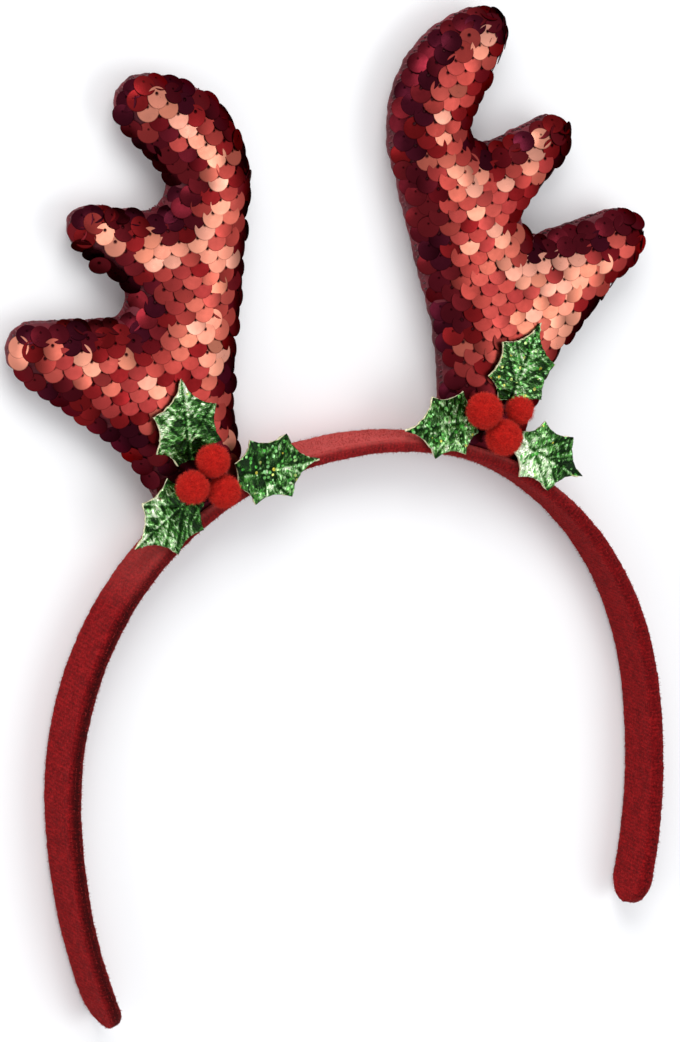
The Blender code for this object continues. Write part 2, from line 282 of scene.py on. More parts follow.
# How light the foil is painted: its ground, and what the painted highlights on ridges, the painted
# shade in veins, the painted highlight on a vein's lit side and broad patches add
FOIL_GROUND, RIDGE_LIGHT, VEIN_LIGHT, GLINT_LIGHT, PATCH_LIGHT = -0.34, 0.75, -0.42, 0.30, 0.2
GLINT_SHIFT = 0.5                # how far a vein's lit side lies from its middle
LEAF_VEIN_DEPTH = 0.32
LEAF_VEINS = (0.24, 0.45, 0.66)  # where the side veins leave the midrib, as shares of the length
LEAF_VEIN_ANGLE = 42.0           # degrees
MIDRIB_WIDTH = 0.38
SIDE_VEIN_WIDTH = 0.3
SIDE_VEIN_SHARE = 0.75           # of the midrib's depth
GLITTER_DOT = 1.05               # spacing of the glitter's dots
# Share of each leaf's dots that glitter, how much paler its foil is than the others, and how much more
# painted highlight it takes towards +X and +Y, where it faces the light
LEAF_LOOK = {
    "holly_leaf_right_1": (0.06, 0.05, (-0.10, 0.10)),
    "holly_leaf_right_2": (0.60, -0.10, (0.06, -0.08)),
    "holly_leaf_right_3": (0.04, 0.10, (-0.14, 0.02)),
    "holly_leaf_left_1": (0.65, -0.02, (-0.02, 0.06)),
    "holly_leaf_left_2": (0.60, 0.00, (0.04, -0.08)),
    "holly_leaf_left_3": (0.25, 0.10, (-0.30, -0.06)),
}

# Berries, in mm
POMPOM_HAIR = (0.9, 0.06, 0.35)  # length, width and lean
POMPOM_INSET = 0.15              # share of a hair's length that the core lies inside the solid
POMPOM_HAIRS_PER_MM2 = 26
POMPOM_LUMPS = 0.16

HAIR_ROOT = 0.3                  # share of a hair's length that is sunk in its ground
HAIR_SIZES = (0.55, 1.2)

LEAF_NODES = [f"holly_leaf_{side}_{index}" for side in ("left", "right") for index in (1, 2, 3)]
BERRY_NODES = [f"berry_{side}_{index}" for side in ("left", "right") for index in (1, 2, 3)]
# How far the oval that a leaf or a berry hides lies inside its box, in mm
HIDDEN_INSETS = {node: 2.9 for node in LEAF_NODES} | {node: 1.8 for node in BERRY_NODES}

# The Mix node's sockets share their names, so they go by number
VECTOR_A, VECTOR_B, COLOUR_A, COLOUR_B = 4, 5, 6, 7
MIXED_VECTOR, MIXED_COLOUR = 1, 2


# Small helpers

def linear(code):
    """An sRGB hex colour as linear red, green, blue and alpha."""
    parts = [int(code[index:index + 2], 16) / 255 for index in (1, 3, 5)]
    return tuple(p / 12.92 if p <= 0.04045 else ((p + 0.055) / 1.055) ** 2.4 for p in parts) + (1.0,)


def add_node(tree, kind, sockets=None, stops=(), **settings):
    """Add a shader node: settings are its own values, and stops are its colour ramp's.

    A socket takes a number, a colour or a link, which is an output or a node's first output.
    """
    node = tree.nodes.new("ShaderNode" + kind)
    for name, value in settings.items():
        setattr(node, name, value)
    for name, value in (sockets or {}).items():
        if isinstance(value, bpy.types.Node):
            value = value.outputs[0]
        if isinstance(value, bpy.types.NodeSocket):
            tree.links.new(value, node.inputs[name])
        else:
            node.inputs[name].default_value = value
    for index, (place, code) in enumerate(stops):
        points = node.color_ramp.elements
        point = points[index] if index < 2 else points.new(place)
        point.position = place
        point.color = linear(code)
    return node


def new_material(name):
    """A new empty material, and add_node for its own tree."""
    material = bpy.data.materials.new(name)
    material.use_nodes = True
    material.node_tree.nodes.clear()
    return material, functools.partial(add_node, material.node_tree)


def add_up(add, start, *weighted):
    """A height with others added to it, each by its own weight."""
    for height, weight in weighted:
        start = add("Math", {0: height, 1: weight, 2: start}, operation="MULTIPLY_ADD")
    return start


def add_shader(add, **sockets):
    """The one Principled shader, with every value and link set straight on its own socket."""
    named = {key.replace("_", " "): value for key, value in sockets.items()}
    add("OutputMaterial", {"Surface": add("BsdfPrincipled", named)})


def two_tone(name, patch, low, high, places=(0.3, 0.7), detail=2.0, coarseness=0.5, **sockets):
    """A dull material that wanders between two tones; patch is the size of its patches in mm."""
    material, add = new_material(name)
    place = add("TexCoord").outputs["Object"]
    patches = add("TexNoise", {
        "Vector": place, "Scale": 1 / (patch * MM), "Detail": detail, "Roughness": coarseness})
    ramp = add("ValToRGB", {"Fac": patches}, stops=zip(places, (low, high)))
    add_shader(add, Base_Color=ramp, **sockets)
    return material


def mesh_piece(name, points, faces, *materials, sharp=0.0):
    """A smooth-shaded piece from points in metres and faces."""
    mesh = bpy.data.meshes.new(name)
    mesh.from_pydata([tuple(p) for p in points], [], [tuple(f) for f in faces])
    return piece_from_mesh(name, mesh, *materials, sharp=sharp)


def piece_from_mesh(name, mesh, *materials, sharp=0.0):
    """A smooth-shaded piece; edges that turn by more than sharp degrees stay crisp, if it is given."""
    mesh.materials.clear()
    for material in materials:
        mesh.materials.append(material)
    mesh.shade_smooth()
    if sharp:
        mesh.set_sharp_from_angle(angle=math.radians(sharp))
    piece = bpy.data.objects.new(name, mesh)
    bpy.context.scene.collection.objects.link(piece)
    return piece


def applied(piece):
    """The piece's mesh with its modifiers worked in."""
    bpy.context.view_layer.update()
    graph = bpy.context.evaluated_depsgraph_get()
    return bpy.data.meshes.new_from_object(piece.evaluated_get(graph))


def read_points(mesh, what="co"):
    """The mesh's points, or their normals, as rows of x, y and z."""
    flat = np.zeros(len(mesh.vertices) * 3)
    mesh.vertices.foreach_get(what, flat)
    return flat.reshape(-1, 3)


def store(piece, label, values, kind="FLOAT"):
    """Keep a number, vector or colour for each point, for the material to read."""
    field = {"FLOAT": "value", "FLOAT_VECTOR": "vector", "FLOAT_COLOR": "color"}[kind]
    attribute = piece.data.attributes.new(label, kind, "POINT")
    attribute.data.foreach_set(field, np.array(values, np.float32).ravel())


def wear(piece, slot, *nodes):
    """The piece rides on the headband's one body, and the named parts are hidden; slot is not used."""
    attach(piece, "root")
    if nodes:
        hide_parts(*nodes)
    return piece


def surface_of(mesh):
    """The mesh's faces, ready for rays and nearest places to be found on them."""
    return BVHTree.FromPolygons([v.co for v in mesh.vertices], [tuple(p.vertices) for p in mesh.polygons])


def merged_solid(node):
    """The frame's solid as a bmesh, with the corners that its faces share merged."""
    solid = bmesh.new()
    solid.from_mesh(node.data)
    bmesh.ops.remove_doubles(solid, verts=solid.verts, dist=MERGE_DISTANCE)
    return solid


def linked(edges):
    """The corners that each corner is joined to by these edges."""
    links = {}
    for edge in edges:
        for here, there in (edge.verts, reversed(edge.verts)):
            links.setdefault(here, []).append(there)
    return links


def follow(links, first):
    """The corners in order, from the first one along the links."""
    run, seen = [first], {first}
    while True:
        onward = [v for v in links[run[-1]] if v not in seen]
        if not onward:
            return run
        run.append(onward[0])
        seen.add(onward[0])


def quads_between(low, high, sides, flipped=False):
    """Quads between two rings of points, by the number of each ring's first point."""
    for index in range(sides):
        after = (index + 1) % sides
        if flipped:
            yield low + index, low + after, high + after, high + index
        else:
            yield low + index, high + index, high + after, low + after


def lengths_along(run):
    """How far along a run of points each of them lies."""
    return np.concatenate(([0.0], np.cumsum(np.linalg.norm(np.diff(run, axis=0), axis=1))))


def rows_at(rows, lengths, wanted):
    """The rows of numbers at the wanted lengths along their run."""
    return np.stack([np.interp(wanted, lengths, column) for column in rows.T], axis=1)


def waver(x, y, size, seed, shift=0.0):
    """Smooth chance heights from -1 to 1, whose bumps have this size in mm along x and y."""
    return noise.noise(Vector((x / size[0] + shift, y / size[1], seed)))


def repeat(shape, faces, turns, places):
    """Copies of a small shape, one for each turn (3 by 3) and place, as one run of points and faces."""
    shape = np.asarray(shape)
    points = np.einsum("nij,kj->nki", turns, shape) + np.asarray(places)[:, None, :]
    count = len(shape)
    all_faces = [tuple(corner + index * count for corner in face)
                 for index in range(len(places)) for face in faces]
    return points.reshape(-1, 3), all_faces


def upright(direction, rng):
    """A turn that stands a shape's z along a direction, spun at random."""
    z = direction / np.linalg.norm(direction)
    side = np.cross(z, (0.31, 0.87, 0.39) if abs(z[1]) < 0.8 else (1.0, 0.1, 0.2))
    side /= np.linalg.norm(side)
    angle = rng.uniform(0, 2 * math.pi)
    x = side * math.cos(angle) + np.cross(z, side) * math.sin(angle)
    return np.stack((x, np.cross(z, x), z), axis=1)


def hairs(name, roots, normals, hair, material, seed):
    """Closed three-sided hairs that stand on a surface and lean at random."""
    length, width, lean = hair
    rng = np.random.default_rng(seed)
    shape = [(width * MM * math.cos(a), width * MM * math.sin(a), -HAIR_ROOT * length * MM)
             for a in (0.0, 2 * math.pi / 3, 4 * math.pi / 3)] + [(0.0, 0.0, length * MM)]
    faces = [(0, 1, 3), (1, 2, 3), (2, 0, 3), (2, 1, 0)]
    turns = []
    for normal in normals:
        turn = upright(normal + rng.normal(0.0, lean, 3), rng)
        turns.append(turn * rng.uniform(*HAIR_SIZES))
    points, all_faces = repeat(shape, faces, np.array(turns), roots)
    return mesh_piece(name, points, all_faces, material)


# Materials

def velour_knit():
    """Polyester velour, dull, its pile raised by brushing; the fronts get painted shade and the crown a
    painted pale pink sheen.
    """
    material, add = new_material("polyester_velour_knit")
    place = add("TexCoord").outputs["Object"]
    mottle = add("TexNoise", {"Vector": place, "Scale": 1 / (2.2 * MM), "Detail": 4.0, "Roughness": 0.7})
    pile = add("TexNoise", {"Vector": place, "Scale": 1 / (0.45 * MM), "Detail": 3.0, "Roughness": 0.8})
    rib = add("Attribute", attribute_name="rib").outputs["Fac"]
    height = add_up(add, pile, (mottle, 0.5), (rib, 0.12))
    shade = add("Math", {0: height, 1: 0.645}, operation="MULTIPLY")
    ramp = add("ValToRGB", {"Fac": shade}, stops=(
        (0.38, "#3A0306"), (0.52, "#72070D"), (0.66, "#A0171A")))
    # Painted shade on the band's fronts, then a painted pale pink sheen on the crown's outer face
    painted_front_shade = add("Attribute", attribute_name="painted_front_shade")
    shaded = add("Mix", {0: 1.0, COLOUR_A: ramp, COLOUR_B: painted_front_shade}, data_type="RGBA", blend_type="MULTIPLY")
    painted_crown_sheen = add("Attribute", attribute_name="painted_crown_sheen").outputs["Fac"]
    painted_sheen_colour = add("Mix", {0: painted_crown_sheen, COLOUR_A: shaded.outputs[MIXED_COLOUR], COLOUR_B: linear("#F4706A")},
                  data_type="RGBA")
    bump = add("Bump", {"Height": pile, "Strength": 1.0, "Distance": 0.3 * MM})
    add_shader(add, Base_Color=painted_sheen_colour.outputs[MIXED_COLOUR], Normal=bump, Roughness=0.95,
               Sheen_Weight=0.14, Sheen_Roughness=0.5, Sheen_Tint=linear("#F0504A"),
               Specular_IOR_Level=0.1)
    return material


def velour_pile():
    """The velour's loose fibre ends, a little lighter than the ground."""
    return two_tone("polyester_pile_fibre", 0.8, "#700E12", "#BC3230", places=(0.35, 0.7), detail=3.0,
                    Roughness=1.0, Sheen_Weight=0.1, Sheen_Tint=linear("#F06058"),
                    Specular_IOR_Level=0.1)


def satin_backing():
    """Woven polyester satin: deep wine red with a rosy sheen where it turns away at the seam."""
    material, add = new_material("woven_polyester_satin")
    place = add("TexCoord").outputs["Object"]
    # The real 0.2 mm threads are too fine to show, so the weave is drawn this far apart. A wave
    # texture of scale 1 has 20 / 2 pi bands in a metre.
    weave_pitch = 2.639 * MM
    warp, weft = (add("TexWave", {
        "Vector": place, "Scale": math.pi / 10 / weave_pitch, "Distortion": 1.2, "Detail": 1.0,
        "Detail Scale": 1.5}, bands_direction=way) for way in "XY")
    weave = add("Math", {0: warp.outputs["Fac"], 1: weft.outputs["Fac"]}, operation="MULTIPLY")
    cloud = add("TexNoise", {"Vector": place, "Scale": 1 / (9 * MM), "Detail": 3.0})
    shade = add_up(add, cloud, (weave, 0.25))
    ramp = add("ValToRGB", {"Fac": shade}, stops=((0.3, "#3E0A14"), (0.85, "#701A26")))
    bump = add("Bump", {"Height": weave, "Strength": 0.35, "Distance": 0.08 * MM})
    add_shader(add, Base_Color=ramp, Normal=bump, Roughness=0.6, Sheen_Weight=0.08,
               Sheen_Roughness=0.4, Sheen_Tint=linear("#E88C96"), Specular_IOR_Level=0.25)
    return material


def sequin_film():
    """Metallised polyester film, punched and cupped: a mirror with a red lacquer, lightly scuffed."""
    material, add = new_material("metallised_polyester_film")
    tone = add("Attribute", attribute_name="tone")
    place = add("TexCoord").outputs["Object"]
    scuff = add("TexNoise", {"Vector": place, "Scale": 1 / (1.6 * MM), "Detail": 4.0, "Roughness": 0.65})
    rough = add("MapRange", {
        "Value": scuff, "From Min": 0.3, "From Max": 0.7, "To Min": 0.26, "To Max": 0.40})
    bump = add("Bump", {"Height": scuff, "Strength": 0.05, "Distance": 0.1 * MM})
    # The tone holds the lacquer's colour with painted highlights, painted shade and painted reflections in
    # it
    add_shader(add, Base_Color=tone, Roughness=rough, Normal=bump, Metallic=1.0,
               Specular_Tint=linear("#6E3A38"))
    return material


def seam_thread():
    """Spun polyester sewing thread: matt, and its dye wanders a little along the seam."""
    material, add = new_material("spun_polyester_thread")
    place = add("TexCoord").outputs["Object"]
    # The thread's own 0.3 mm twist is too fine to show. A slanted wave texture of scale 1 has
    # 10 / 2 pi bands in a metre along each axis.
    wander = 6.283 * MM
    dye = add("TexWave", {"Vector": place, "Scale": math.pi / 5 / wander, "Distortion": 2.0},
              bands_direction="DIAGONAL")
    ramp = add("ValToRGB", {"Fac": dye.outputs["Fac"]}, stops=((0.2, "#2A0810"), (0.8, "#5C141E")))
    add_shader(add, Base_Color=ramp, Roughness=0.7, Sheen_Weight=0.3, Sheen_Tint=linear("#D08088"))
    return material


def line_at_middle(add, height, half_width):
    """1 along the lines where a height crosses its middle value, and 0 away from them."""
    above = add("Math", {0: height, 1: 0.5}, operation="SUBTRACT")
    far = add("Math", {0: above}, operation="ABSOLUTE")
    return add("MapRange", {
        "Value": far, "From Min": 0.0, "From Max": half_width, "To Min": 1.0, "To Max": 0.0})


def holographic_foil():
    """Metallised green film glued on cloth: painted highlights on ridges, painted shade in hollows, dots
    glitter.
    """
    material, add = new_material("holographic_green_foil")
    place = add("TexCoord").outputs["Object"]
    painted_foil_light = add("Attribute", attribute_name="painted_foil_light").outputs["Fac"]
    lie = add("Attribute", attribute_name="lie").outputs["Vector"]
    stretched = add("VectorMath", {0: lie, 1: (1 / FOIL_RIPPLE[0], 1 / FOIL_RIPPLE[1], 1.0)},
                    operation="MULTIPLY")
    ripple, fine = (add("TexNoise", {
        "Vector": stretched, "Scale": scale, "Detail": 2.0, "Roughness": 0.5, "Distortion": distortion})
        for scale, distortion in ((1.0, 0.9), (1.3, 0.6)))
    ridges = line_at_middle(add, ripple, FOIL_CREASE[0])
    hollows = line_at_middle(add, fine, FOIL_CREASE[1])
    bent = add("Mix", {0: 0.22, VECTOR_A: stretched, VECTOR_B: ripple.outputs["Color"]},
               data_type="VECTOR")
    facet = add("TexVoronoi", {"Vector": bent.outputs[MIXED_VECTOR], "Scale": 1.3})
    tilt = add("SeparateColor", {"Color": facet.outputs["Color"]})
    # Ridge lines, hollows and facets paint highlights, shade and reflections into the foil's colour
    level = add_up(add, painted_foil_light, (tilt, 0.26), (fine, 0.65), (ridges, 0.36), (hollows, -0.28))
    ground = add("ValToRGB", {"Fac": level}, stops=(
        (0.08, "#0C2806"), (0.26, "#265418"), (0.42, "#478036"), (0.57, "#8EC67A"), (0.80, "#F0FCDC")))
    dots = add("TexVoronoi", {"Vector": place, "Scale": 1 / (GLITTER_DOT * MM), "Randomness": 0.9})
    near = add("Math", {0: dots.outputs["Distance"], 1: 0.36}, operation="LESS_THAN")
    chance = add("SeparateColor", {"Color": dots.outputs["Color"]})
    share = add("Attribute", attribute_name="glitter").outputs["Fac"]
    chosen = add("Math", {0: chance, 1: share}, operation="LESS_THAN")
    lit = add("Math", {0: near, 1: chosen}, operation="MULTIPLY")
    glint = add("ValToRGB", {"Fac": chance.outputs[1]}, stops=(
        (0.2, "#48A03C"), (0.6, "#8CD878"), (0.82, "#A8E8A0"), (0.95, "#D8C848")))
    mixed = add("Mix", {0: lit, COLOUR_A: ground, COLOUR_B: glint}, data_type="RGBA")
    folds = add_up(add, ridges, (hollows, -0.6), (facet.outputs["Distance"], 0.9))
    bump = add("Bump", {"Height": folds, "Strength": 0.8, "Distance": 0.22 * MM})
    add_shader(add, Base_Color=mixed.outputs[MIXED_COLOUR], Normal=bump, Metallic=1.0, Roughness=0.30,
               Coat_Weight=0.1, Coat_Roughness=0.12)
    return material


def cut_cloth_edge():
    """The die-cut edge of the leaf, where the pale cloth under the foil shows."""
    return two_tone("die_cut_cotton_edge", 0.5, "#9AA070", "#F0E8C4", Roughness=0.85)


def pompom_yarn(name, low, high):
    """Brushed acrylic yarn, trimmed to a ball: fully matt, with shade between its tufts."""
    return two_tone(name, 1.1, low, high, detail=4.0, coarseness=0.7, Roughness=1.0, Sheen_Weight=0.35,
                    Sheen_Tint=linear("#F06858"), Specular_IOR_Level=0.1)


def studio_floor():
    """A matt pale floor with the faintest cloudiness."""
    return two_tone("pale_studio_floor", 1000 / 3, "#F1F1F1", "#F4F4F4", Roughness=0.9,
                    Specular_IOR_Level=0.1)


# Band

def band_outer_point(step):
    """Outer face of the band in mm: step 0 is the crown, 1 the widest level and 2 the tip."""
    level = BAND_THICKNESS / 2 - BAND_CROWN_RISE
    if step <= 1.0:
        angle = step * math.pi / 2
        power = 2 / BAND_SQUARENESS
        across = math.sin(angle) ** power
        up = max(0.0, math.cos(angle)) ** power
        return Vector((BAND_HALF_WIDTH * across, level + BAND_CROWN_RISE * up))
    drop = step - 1.0
    inset = BAND_TIP_INSET * drop ** BAND_INSET_POWER
    return Vector((BAND_HALF_WIDTH - inset, level - BAND_ARM_LENGTH * drop))


def band_run():
    """Evenly spaced points along the outer face, from the right tip over the crown to the left tip."""
    half = np.array([band_outer_point(2 * index / 1200) for index in range(1201)])
    whole = np.concatenate((half[::-1] * (-1, 1), half[1:]))
    lengths = lengths_along(whole)
    wanted = np.linspace(0.0, lengths[-1], round(lengths[-1] / VELOUR_STEP) + 1)
    return rows_at(whole, lengths, wanted), wanted


def band_section():
    """Rounded rectangle as evenly spaced (outward, forward, outward normal, forward normal) rows."""
    half_out, half_deep = BAND_THICKNESS / 2, BAND_DEPTH / 2
    rounding = VELOUR_EDGE_ROUND
    corners = ((1, -1, -90), (1, 1, 0), (-1, 1, 90), (-1, -1, 180))
    rows = []
    for out, deep, first in corners:
        for part in range(6):
            angle = math.radians(first + 18 * part)
            normal = (math.cos(angle), math.sin(angle))
            rows.append((out * (half_out - rounding) + rounding * normal[0],
                         deep * (half_deep - rounding) + rounding * normal[1], *normal))
    rows.append(rows[0])
    rows = np.array(rows)
    lengths = lengths_along(rows[:, :2])
    return rows_at(rows, lengths, np.linspace(0.0, lengths[-1], VELOUR_SIDES + 1)[:-1])


def velour_height(along, around):
    """The rib's wave from -1 to 1, and the knit's height in mm, with its lumps and its broad swells."""
    bend = 1.5 * waver(along, around, (2.6, 2.0), 1.7)
    rib = math.sin(2 * math.pi * along / VELOUR_RIB + around * VELOUR_RIB_SLANT + bend)
    lump = waver(along, around, (1.1, 1.1), 5.3)
    swell = waver(along, around, (7.0, 5.0), 9.1)
    return rib, VELOUR_RIB_HEIGHT * rib + VELOUR_LUMP_HEIGHT * lump + VELOUR_SWELL_HEIGHT * swell


def make_band(cover, pile):
    """A velour tube drawn over the band's strip, with its ribs, its lumps and its fuzz."""
    run, lengths = band_run()
    section = band_section()
    heading = np.gradient(run, axis=0)
    heading /= np.linalg.norm(heading, axis=1)[:, None]
    outward = np.stack((-heading[:, 1], heading[:, 0]), axis=1)
    points, normals, ribs, painted_front_shades, painted_crown_sheens = [], [], [], [], []
    for place, along, way_out in zip(run, lengths, outward):
        on_arm = min(max((abs(place[0]) - CROWN_REACH) / CROWN_FADE, 0.0), 1.0)
        shade = FRONT_SHADE + on_arm * (RIGHT_ARM_SHADE if place[0] < 0 else LEFT_ARM_SHADE)
        from_tip = min(min(along, lengths[-1] - along) / (BAND_DEPTH / 2), 1.0)
        share = max(math.sqrt(max(0.0, 1.0 - (1.0 - from_tip) ** 2)), TIP_NARROWEST)
        thinning = TIP_THINNEST + (1.0 - TIP_THINNEST) * share
        centre = place - way_out * BAND_THICKNESS / 2
        for side, (out, deep, out_normal, deep_normal) in enumerate(section):
            rib, height = velour_height(along, side * VELOUR_SIDE_STEP)
            ribs.append(0.5 + 0.5 * rib)
            # Painted shade on the front face, deeper on the arms, and a painted pale sheen on the crown's
            # outer face
            painted_front_shades.append(1.0 - max(deep_normal, 0.0) ** 2 * shade)
            painted_crown_sheens.append((1.0 - on_arm) * (CROWN_PAINTED_SHEEN[0] + CROWN_PAINTED_SHEEN[1] * max(out_normal, 0.0)))
            flat = centre + way_out * (out * thinning + out_normal * height)
            z = BAND_DEPTH / 2 + (deep + deep_normal * height) * share
            points.append((*flat, max(z, FLOOR_GAP)))
            normals.append((*(way_out * out_normal), deep_normal))
    points, normals = np.array(points) * MM, np.array(normals)
    rings = range(0, len(points), VELOUR_SIDES)
    faces = [quad for ring in rings[:-1] for quad in quads_between(ring, ring + VELOUR_SIDES, VELOUR_SIDES)]
    faces += [tuple(range(VELOUR_SIDES)), tuple(reversed(range(rings[-1], len(points))))]
    band = mesh_piece("band_velour_cover", points, faces, cover)
    for label, values in (("rib", ribs), ("painted_front_shade", painted_front_shades), ("painted_crown_sheen", painted_crown_sheens)):
        store(band, label, values)
    wear(band, "red_felt", "band")
    chosen = np.random.default_rng(3).choice(len(points), VELOUR_HAIRS, replace=False)
    chosen = chosen[points[chosen, 2] > VELOUR_BARE * MM]
    wear(hairs("band_velour_fuzz", points[chosen], normals[chosen], VELOUR_HAIR, pile, seed=4), "red_felt")


# Antlers

def seam_of(node):
    """The pad's seam as an ordered run of flat points in mm, read from the frame's solid."""
    solid = merged_solid(node)
    on_seam = {v for v in solid.verts if abs(v.co.z - SEAM_LEVEL * MM) < 2 * MERGE_DISTANCE}
    links = linked([edge for edge in solid.edges if on_seam.issuperset(edge.verts)])
    first = min((v for v in links if len(links[v]) == 1), key=lambda v: abs(v.co.x))
    seam = np.array([(v.co.x, v.co.y) for v in follow(links, first)]) / MM
    solid.free()
    return seam


def nearest_on(seam, spots):
    """For each spot: distance to the seam, the direction to it, and how far along the seam it is."""
    start, edge = seam[:-1], np.diff(seam, axis=0)
    lengths = np.linalg.norm(edge, axis=1)
    offset = spots[:, None, :] - start
    share = np.clip((offset * edge).sum(2) / (lengths ** 2), 0.0, 1.0)
    away = start + share[..., None] * edge - spots[:, None, :]
    distance = np.linalg.norm(away, axis=2)
    best = distance.argmin(axis=1)
    rows = np.arange(len(spots))
    towards = away[rows, best] / np.maximum(distance[rows, best], 1e-6)[:, None]
    return distance[rows, best], towards, lengths_along(seam)[best] + share[rows, best] * lengths[best]


def blown_up(pad, start):
    """Where the cloth's points go as its filling swells the faces, while the sides are held."""
    held = pad.vertex_groups.new(name="held")
    for vertex in pad.data.vertices:
        if abs(vertex.normal.z) < PAD_HELD_SLOPE:
            held.add([vertex.index], 1.0, "REPLACE")
    cloth = pad.modifiers.new("cloth", "CLOTH")
    cloth.settings.quality = 6
    cloth.settings.use_pressure = True
    cloth.settings.uniform_pressure_force = PAD_PRESSURE
    cloth.settings.effector_weights.gravity = 0.0
    cloth.settings.vertex_group_mass = "held"
    cloth.settings.tension_stiffness = PAD_TENSION
    cloth.settings.bending_stiffness = PAD_BENDING
    cloth.point_cache.frame_end = PAD_FRAMES
    for frame_number in range(1, PAD_FRAMES + 1):
        bpy.context.scene.frame_set(frame_number)
    swollen = applied(pad)
    pad.modifiers.clear()
    moved = read_points(swollen) - start
    far = np.linalg.norm(moved, axis=1)
    cap = PAD_SWELL_CAP * MM * PAD_SIM_SCALE
    bpy.data.meshes.remove(swollen)
    bpy.context.scene.frame_set(1)
    return start + moved * np.minimum(1.0, cap / np.maximum(far, 1e-9))[:, None]


def stuffed(name, node, material):
    """A stuffed cloth pad in the place of the solid, its sequined front left a little thinner."""
    mesh = node.data.copy()
    middle = SEAM_LEVEL * MM
    mesh.transform(Matrix.Translation((0, 0, middle)) @ Matrix.Diagonal((1, 1, PAD_START_DEPTH, 1))
                   @ Matrix.Translation((0, 0, -middle)))
    mesh.transform(Matrix.Scale(PAD_SIM_SCALE, 4))
    pad = piece_from_mesh(name, mesh, material)
    remesh = pad.modifiers.new("even_cloth", "REMESH")
    remesh.mode = "VOXEL"
    remesh.voxel_size = PAD_VOXEL * MM * PAD_SIM_SCALE
    pad.data = applied(pad)
    pad.modifiers.clear()
    points = read_points(pad.data)
    points = blown_up(pad, points)
    points /= PAD_SIM_SCALE
    front = points[:, 2] > middle
    points[front, 2] = middle + (points[front, 2] - middle) * PAD_FRONT_DEPTH
    pad.data.vertices.foreach_set("co", points.ravel())
    finer = pad.modifiers.new("finer", "SUBSURF")
    finer.levels = finer.render_levels = 1
    pad.data = applied(pad)
    pad.modifiers.clear()
    return pad


def draw_in_seam(pad, seam):
    """The seam pulls the cloth in, and gathers it into short puckers on both sides."""
    points = read_points(pad.data) / MM
    normals = read_points(pad.data, "normal")
    distance, towards, along = nearest_on(seam, points[:, :2])
    level = points[:, 2] - SEAM_LEVEL
    groove = GROOVE_DEPTH * np.exp(-(level / GROOVE_HEIGHT) ** 2) * (distance < GROOVE_REACH)
    short, long = PUCKER_PITCHES
    waves = np.array([waver(a, 3.1, (short, 1.0), 0.4) + waver(a, 8.0, (long, 1.0), 2.2) for a in along])
    reach = np.exp(-(distance / PUCKER_FADE) ** 2) * (distance < PUCKER_REACH)
    shift = normals * (PUCKER_DEPTH * waves * reach)[:, None]
    shift[:, :2] -= towards * groove[:, None]
    moved = points + shift
    moved[:, 2] = np.maximum(moved[:, 2], FLOOR_GAP)
    pad.data.vertices.foreach_set("co", (moved * MM).ravel())
    pad.data.update()
    pad.data.shade_smooth()


def walk(seam, pitch, first=1.5):
    """Even steps along the seam: each spot in mm, the way along it, and the way out of the pad."""
    edge = np.diff(seam, axis=0)
    lengths = lengths_along(seam)
    x, y = seam[:, 0], seam[:, 1]
    runs_left = 1 if np.sum(x * np.roll(y, -1) - y * np.roll(x, -1)) > 0 else -1
    for step in np.arange(first, lengths[-1] - 1.0, pitch):
        part = min(int(np.searchsorted(lengths, step)) - 1, len(edge) - 1)
        share = (step - lengths[part]) / (lengths[part + 1] - lengths[part])
        along = edge[part] / np.linalg.norm(edge[part])
        yield seam[part] + edge[part] * share, along, np.array((along[1], -along[0])) * runs_left


def sequin_shape(cup_height, hole):
    """A cupped disc with a hole near its upper side, as points, faces and each point's ring."""
    points, rings = [], []
    for face in (1, -1):
        for ring, share in enumerate(SEQUIN_RINGS):
            for index in range(SEQUIN_SIDES):
                angle = 2 * math.pi * index / SEQUIN_SIDES
                inner = Vector((hole * math.cos(angle), SEQUIN_HOLE_UP + hole * math.sin(angle)))
                outer = Vector((SEQUIN_RADIUS * math.cos(angle), SEQUIN_RADIUS * math.sin(angle)))
                flat = inner.lerp(outer, share)
                cup = cup_height * (1 - (flat.length / SEQUIN_RADIUS) ** 2)
                points.append((flat.x, flat.y, cup + face * SEQUIN_THICKNESS / 2))
                rings.append(ring)
    back = len(SEQUIN_RINGS) * SEQUIN_SIDES
    rim = back - SEQUIN_SIDES
    faces = []
    for low in range(0, rim, SEQUIN_SIDES):
        faces += quads_between(low, low + SEQUIN_SIDES, SEQUIN_SIDES)
    faces += [tuple(corner + back for corner in reversed(face)) for face in faces]
    faces += quads_between(rim, back + rim, SEQUIN_SIDES)
    faces += quads_between(0, back, SEQUIN_SIDES, flipped=True)
    return np.array(points) * MM, faces, np.array(rings)


def in_streak(streaks, x, y, chance):
    """Whether the place lies in one of the streaks, and its chance falls in that streak's share."""
    for (ax, ay), (bx, by), reach, share in streaks:
        start, edge = np.array((ax, ay)), np.array((bx - ax, by - ay))
        part = np.clip(((x, y) - start) @ edge / (edge @ edge), 0.0, 1.0)
        if np.linalg.norm(start + part * edge - (x, y)) < reach and chance < share:
            return True
    return False


def hidden_places():
    """The middle and the reach, in mm, of the flat oval that each leaf and each berry hides."""
    places = []
    for node_name, inset in HIDDEN_INSETS.items():
        low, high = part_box(node_name)
        middle = (high + low) / 2 / MM
        reach = (high - low) / 2 / MM
        places.append((middle.x, middle.y, reach.x - inset, reach.y - inset))
    return places


def is_covered(x, y, hidden):
    """Whether a leaf or a berry hides the place, so that no sequin is sewn there."""
    return any(((x - spot_x) / reach_x) ** 2 + ((y - spot_y) / reach_y) ** 2 < 1.0
               for spot_x, spot_y, reach_x, reach_y in hidden)


def border_width(name, towards):
    """How wide the painted dark border is where the seam lies in this direction."""
    left, right, up, down = PAINTED_SHADE_BORDER[name]
    across = left if towards[0] < 0 else right
    upright_width = up if towards[1] > 0 else down
    weight = towards[0] ** 2
    return across * weight + upright_width * (1 - weight)


